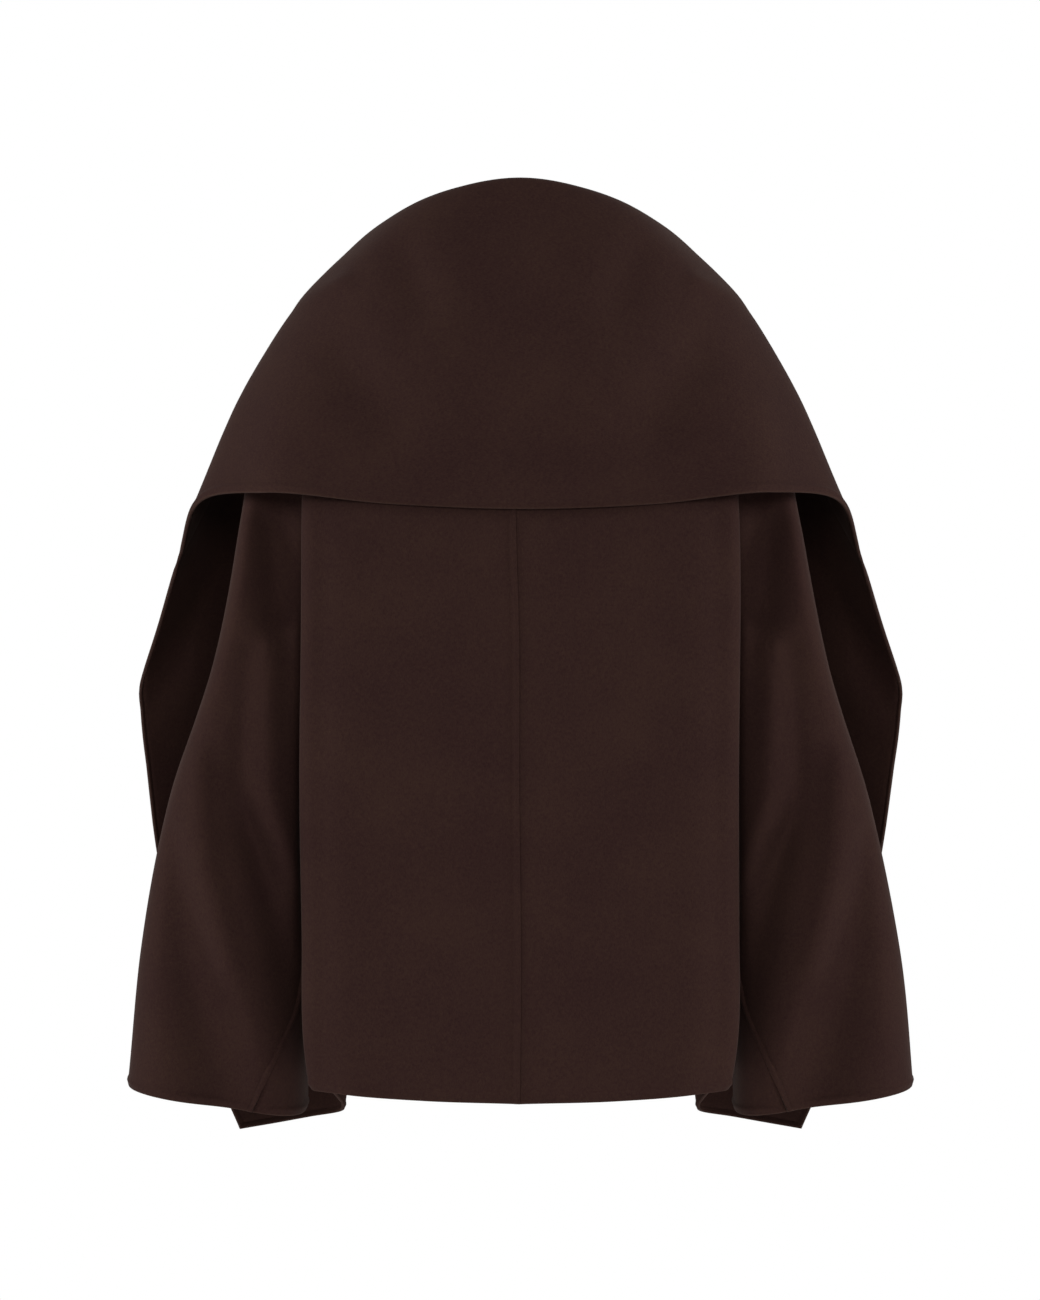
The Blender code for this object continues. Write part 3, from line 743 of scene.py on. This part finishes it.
def pale_floor():
    """Matt studio floor with a faint unevenness."""
    made, shader, tree = new_shader("pale_floor", FLOOR_WHITE)
    place = tree.add("ShaderNodeTexCoord", output="Object")
    patches = tree.add("ShaderNodeTexNoise", {"Vector": place, "Scale": 3.0})
    tone = tree.add("ShaderNodeValToRGB", {"Fac": patches}, stops=[
        (0.0, tinted(FLOOR_WHITE, 0.98)), (1.0, tinted(FLOOR_WHITE, 1.02))])
    link(tone, shader, "Base Color")
    shader.inputs["Roughness"].default_value = 0.9
    return made


def sway(points):
    """The points moved by the unevenness of the hanging jacket, which is one for all its pieces."""
    drift = np.zeros_like(points)
    for axis, height, waves, start in SWAYS:
        drift[:, axis] += height * np.sin(points @ np.array(waves) + start)
    up, across = (points[:, 2] - STRAY_LEVEL) / STRAY_TALL, points[:, 0] / STRAY_WIDE
    drift[:, 0] += STRAY * np.exp(-up ** 2 - across ** 2)
    return points + drift


def shell(name, piece, side=1.0, lapped=True):
    """Lay a piece's cloth to both sides of its grid, with rounded free edges, as one closed mesh."""
    turn = np.array((side, 1.0, 1.0))
    half = CLOTH / 2
    rounded = np.sqrt(1 - np.clip(1 - piece.from_free / half, 0.0, 1.0) ** 2)
    swell = 1 + EDGE_SWELL * ease(1 - np.abs(piece.from_free - EDGE_BAND / 2) / EDGE_BAND)
    rolled = 1 - SEAM_ROLL * np.clip(1 - piece.from_seam / SEAM_ROUND, 0.0, 1.0)
    depth = half * rounded * swell * rolled
    raised = piece.lap * rounded if lapped else 0.0
    outer = piece.points + piece.normals * (depth + raised)[..., None]
    inner = piece.points - piece.normals * depth[..., None]
    rows, columns = depth.shape
    count = rows * columns
    corners = sway(np.concatenate((outer, inner)).reshape(-1, 3) * turn) * CM
    index = np.arange(count).reshape(rows, columns)
    quads = np.stack((index[:-1, :-1], index[:-1, 1:], index[1:, 1:], index[1:, :-1]), axis=-1)
    quads = quads.reshape(-1, 4)
    rim = np.concatenate((index[0], index[1:, -1], index[-1, -2::-1], index[-2:0:-1, 0]))
    ahead = np.roll(rim, -1)
    walls = np.stack((ahead, rim, rim + count, ahead + count), axis=-1)
    faces = np.concatenate((quads, quads[:, ::-1] + count, walls))
    mesh = bpy.data.meshes.new(name)
    mesh.from_pydata(corners.tolist(), [], faces.tolist())
    mesh.materials.append(wool_face)
    mesh.materials.append(wool_inner_shaded)
    counts = (len(quads), len(quads), len(walls))
    # Outer faces and rims take the wool, inner faces its darker copy, which is painted shade
    mesh.polygons.foreach_set("material_index", np.repeat((0, 1, 0), counts))
    across = np.tile(piece.away["first_column"], (2, 1)).reshape(-1) * CM
    down = np.tile(piece.away["first_row"], (2, 1)).reshape(-1) * CM
    corner_of = np.empty(len(mesh.loops), int)
    mesh.loops.foreach_get("vertex_index", corner_of)
    layer = mesh.uv_layers.new(name="cut")
    layer.uv.foreach_set("vector", np.stack((across[corner_of], down[corner_of]), axis=1).ravel())
    edge = mesh.attributes.new("edge_distance", "FLOAT", "POINT")
    edge.data.foreach_set("value", np.tile(piece.from_free.reshape(-1), 2) * CM)
    work = bmesh.new()
    work.from_mesh(mesh)
    bmesh.ops.remove_doubles(work, verts=work.verts, dist=1e-6)
    bmesh.ops.recalc_face_normals(work, faces=work.faces)
    work.to_mesh(mesh)
    work.free()
    mesh.shade_smooth()
    mesh.set_sharp_from_angle(angle=np.radians(55.0))
    made = bpy.data.objects.new(name, mesh)
    bpy.context.scene.collection.objects.link(made)
    return made


def stitch_tree():
    """Geometry Nodes: one small sunk stitch at each marked place, turned along its edge."""
    tree = bpy.data.node_groups.new("pick_stitches", "GeometryNodeTree")
    sockets = tree.interface
    sockets.new_socket("Geometry", in_out="INPUT", socket_type="NodeSocketGeometry")
    for label, value in (("Stitch length", STITCH_LENGTH * CM), ("Stitch width", STITCH_WIDTH * CM)):
        sockets.new_socket(label, in_out="INPUT", socket_type="NodeSocketFloat").default_value = value
    sockets.new_socket("Seed", in_out="INPUT", socket_type="NodeSocketInt").default_value = 7
    sockets.new_socket("Geometry", in_out="OUTPUT", socket_type="NodeSocketGeometry")
    nodes, links = tree.nodes, tree.links
    start, end = nodes.new("NodeGroupInput"), nodes.new("NodeGroupOutput")

    def named(attribute):
        node = nodes.new("GeometryNodeInputNamedAttribute")
        node.data_type = "FLOAT_VECTOR"
        node.inputs["Name"].default_value = attribute
        return node.outputs["Attribute"]

    ball = nodes.new("GeometryNodeMeshUVSphere")
    ball.inputs["Segments"].default_value = 6
    ball.inputs["Rings"].default_value = 5
    ball.inputs["Radius"].default_value = 0.5
    outward = nodes.new("FunctionNodeAlignRotationToVector")
    outward.axis = "Z"
    links.new(named("outward"), outward.inputs["Vector"])
    along = nodes.new("FunctionNodeAlignRotationToVector")
    along.axis = "X"
    along.pivot_axis = "Z"
    links.new(outward.outputs["Rotation"], along.inputs["Rotation"])
    links.new(named("along"), along.inputs["Vector"])
    size = nodes.new("ShaderNodeCombineXYZ")
    links.new(start.outputs["Stitch length"], size.inputs["X"])
    links.new(start.outputs["Stitch width"], size.inputs["Y"])
    links.new(start.outputs["Stitch width"], size.inputs["Z"])
    uneven = nodes.new("FunctionNodeRandomValue")
    uneven.data_type = "FLOAT"
    uneven.inputs[2].default_value = 0.75
    uneven.inputs[3].default_value = 1.15
    links.new(start.outputs["Seed"], uneven.inputs["Seed"])
    scaled = nodes.new("ShaderNodeVectorMath")
    scaled.operation = "SCALE"
    links.new(size.outputs["Vector"], scaled.inputs[0])
    links.new(uneven.outputs[1], scaled.inputs["Scale"])
    place = nodes.new("GeometryNodeInstanceOnPoints")
    links.new(start.outputs["Geometry"], place.inputs["Points"])
    links.new(ball.outputs["Mesh"], place.inputs["Instance"])
    links.new(along.outputs["Rotation"], place.inputs["Rotation"])
    links.new(scaled.outputs["Vector"], place.inputs["Scale"])
    real = nodes.new("GeometryNodeRealizeInstances")
    links.new(place.outputs["Instances"], real.inputs["Geometry"])
    finish = nodes.new("GeometryNodeSetMaterial")
    finish.inputs["Material"].default_value = thread
    links.new(real.outputs["Geometry"], finish.inputs["Geometry"])
    links.new(finish.outputs["Geometry"], end.inputs["Geometry"])
    return tree


def stitch_places(piece, edge, side):
    """Places of the pick stitches along one free edge, with the ways along it and out of the cloth."""
    away = piece.away[edge]
    if edge in ("first_row", "last_row"):
        away = away.T
        points, normals = piece.points.transpose(1, 0, 2), piece.normals.transpose(1, 0, 2)
    else:
        points, normals = piece.points, piece.normals
    nearest = np.abs(away - STITCH_SET_IN).argmin(axis=1)
    lines = np.arange(len(points))
    line, outward = points[lines, nearest], normals[lines, nearest]
    reach = distances(line)
    at = np.arange(STITCH_PITCH * 2, reach[-1] - STITCH_PITCH, STITCH_PITCH)
    spot = read_along(line, reach, at)
    along = read_along(line, reach, at + STITCH_LENGTH / 2) - spot
    out = unit(read_along(outward, reach, at))
    turn = np.array((side, 1.0, 1.0))
    raised = sway((spot + out * CLOTH / 2 * STITCH_SEAT) * turn)
    return raised * CM, unit(along * turn), out * turn


def pick_stitches(name, places, tree):
    """The stitches of one piece as a plain mesh."""
    spots, along, outward = (np.concatenate(parts) for parts in zip(*places))
    mesh = bpy.data.meshes.new(name + "_marks")
    mesh.from_pydata(spots.tolist(), [], [])
    for label, values in (("along", along), ("outward", outward)):
        mesh.attributes.new(label, "FLOAT_VECTOR", "POINT").data.foreach_set("vector", values.ravel())
    marks = bpy.data.objects.new(name + "_marks", mesh)
    bpy.context.scene.collection.objects.link(marks)
    modifier = marks.modifiers.new("stitches", "NODES")
    modifier.node_group = tree
    sockets = {item.name: item.identifier for item in tree.interface.items_tree if item.in_out == "INPUT"}
    modifier[sockets["Seed"]] = len(name)
    evaluated = marks.evaluated_get(bpy.context.evaluated_depsgraph_get())
    made = bpy.data.objects.new(name, bpy.data.meshes.new_from_object(evaluated))
    bpy.context.scene.collection.objects.link(made)
    bpy.data.objects.remove(marks)
    made.data.shade_smooth()
    return made


def soft_light(name, place, aim, size, power):
    """A softbox that lights the jacket and isn't seen."""
    lamp = bpy.data.lights.new(name, "AREA")
    lamp.shape = "RECTANGLE"
    lamp.size, lamp.size_y = size
    lamp.energy = power
    made = bpy.data.objects.new(name, lamp)
    made.location = place
    made.rotation_euler = (Vector(aim) - Vector(place)).to_track_quat("-Z", "Y").to_euler()
    made.visible_camera = False
    bpy.context.scene.collection.objects.link(made)


def studio():
    """Plain white surroundings, a pale floor, soft light and the photograph's camera."""
    scene = bpy.context.scene
    scene.view_settings.view_transform = "Standard"
    world = bpy.data.worlds.new("white_studio")
    world.use_nodes = True
    tree = Wire(world.node_tree)
    seen = tree.add("ShaderNodeLightPath", output="Is Camera Ray")
    backdrop = world.node_tree.nodes["Background"]
    backdrop.inputs["Color"].default_value = (1.0, 1.0, 1.0, 1.0)
    world.node_tree.links.new((seen * (1.0 - ROOM_LIGHT) + ROOM_LIGHT).socket, backdrop.inputs["Strength"])
    scene.world = world
    bpy.ops.mesh.primitive_circle_add(vertices=96, radius=FLOOR_RADIUS, fill_type="NGON",
                                      location=(0.0, 0.0, FLOOR_HEIGHT))
    floor = bpy.context.object
    floor.name = "studio_floor"
    floor.data.materials.append(pale_floor())
    for light in LIGHTS:
        soft_light(*light)
    data = bpy.data.cameras.new("photo_camera")
    data.lens = CAMERA_LENS
    data.sensor_width = 36.0
    camera = bpy.data.objects.new("photo_camera", data)
    camera.location = (0.0, -CAMERA_BACK, CAMERA_HEIGHT)
    camera.rotation_euler = (np.pi / 2, 0.0, 0.0)
    scene.collection.objects.link(camera)
    scene.camera = camera


def dressed(made, node):
    """Attach a cloth piece to the frame's root, and hide the solid that it stands for."""
    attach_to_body(made, "root")
    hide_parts(node)


def sewn(node, piece, side):
    """Put the pick stitches along a piece's free edges."""
    places = [stitch_places(piece, edge, side) for edge in piece.free_edges]
    made = pick_stitches("stitches_" + node, places, stitches)
    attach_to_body(made, "root")


wool_face = brushed_wool("wool_face", FACE_BROWN, 0.05)
# The inner faces of all pieces get a darker copy of the wool, which is painted shade
wool_inner_shaded = brushed_wool("wool_inner_shaded", SHADED_INNER_BROWN, 0.03)
thread = spun_thread()

# Lay out the grids of the right half; the neck and front edge carries the collar and then the lapel
back_points = relax(back_grid())
front_points = relax(front_grid())
upper_points, under_points = sleeve_grids()
neck_steps = sum(BACK_STEPS[:2])
neck_edge = np.concatenate((back_points[-1, :neck_steps + 1], front_points[-2::-1, 0]))
gorge = neck_steps + GORGE_ROWS
shawl = shawl_grid(neck_edge)
shawl_smooth = relax(np.concatenate((shawl[:0:-1] * MIRROR, shawl)))
centre_row = len(shawl) - 1
collar_points = tuck(shawl_smooth[centre_row - gorge:centre_row + gorge + 1].copy())
lapel_points = shawl_smooth[centre_row + gorge:]
lapel_points[..., 1] += crease_height(LAPEL_CREASES, lapel_points)

# Crowd the lines at the edges. The hem rows of both body panels share their distances.
back_points = crowd(back_points, first_row=FREE_LINES, first_column=SEAM_LINES)
front_points = crowd(front_points, first_row=FREE_LINES)
upper_points = crowd(upper_points, last_row=FREE_LINES, first_column=SEAM_LINES)
under_points = crowd(under_points, last_row=FREE_LINES, last_column=SEAM_LINES)
collar_points = crowd(collar_points, last_column=FREE_LINES)
lapel_points = crowd(lapel_points, last_row=FREE_LINES, last_column=FREE_LINES)

back = cut_piece(back_points, (0.0, -1.0, 0.0), ("first_row",), BACK_CREASES)
front = cut_piece(front_points, (0.5, 1.0, 0.0), ("first_row",), FRONT_CREASES)
sleeve_upper = cut_piece(upper_points, (1.0, 0.0, 0.0), ("last_row",))
sleeve_under = cut_piece(under_points, (-1.0, 0.0, 0.0), ("last_row",))
collar = cut_piece(collar_points, (0.0, -1.0, 0.0), ("last_column",), COLLAR_CREASES)
lapel = cut_piece(lapel_points, (0.0, 1.0, 0.0), ("last_row", "last_column"))

# The lapped seams: centre back on the left panel, and the hind seam on the upper sleeve, with the
# groove that its stitching pulls into the under sleeve
for piece, height in ((back, LAP_HEIGHT), (sleeve_upper, SLEEVE_LAP_HEIGHT)):
    piece.lap = height * ease((LAP_WIDTH - piece.away["first_column"]) / LAP_STEP)
sleeve_under.lap = -GROOVE_DEPTH * ease((GROOVE_WIDTH - sleeve_under.away["last_column"]) / GROOVE_STEP)

whole = slice(None)
join(sleeve_upper, (whole, 0), (whole, 1), sleeve_under, (whole, -1), (whole, -2))
join(sleeve_upper, (whole, -1), (whole, -2), sleeve_under, (whole, 0), (whole, 1))
meet_centre(back, (whole, 0))

# What each piece hangs from, and how it is held
hang = {
    "back": (back, "hung", ("collar",)),
    "front": (front, "hung", ("collar",)),
    "sleeve_upper": (sleeve_upper, "hung", ("back", "front")),
    "sleeve_under": (sleeve_under, "hung", ("sleeve_upper",)),
    "lapel": (lapel, "draped", ("front",)),
}
stitches = stitch_tree()
for hand, side in (("right", 1.0), ("left", -1.0)):
    for name, (piece, held, bearers) in hang.items():
        lapped = side < 0 or name != "back"
        node = name + "_" + hand
        bearers = [bearer if bearer == "collar" else bearer + "_" + hand for bearer in bearers]
        dressed(shell("wool_" + node, piece, side, lapped), node)
        sewn(node, piece, side)
dressed(shell("wool_collar", collar), "collar")
sewn("collar", collar, 1.0)

studio()
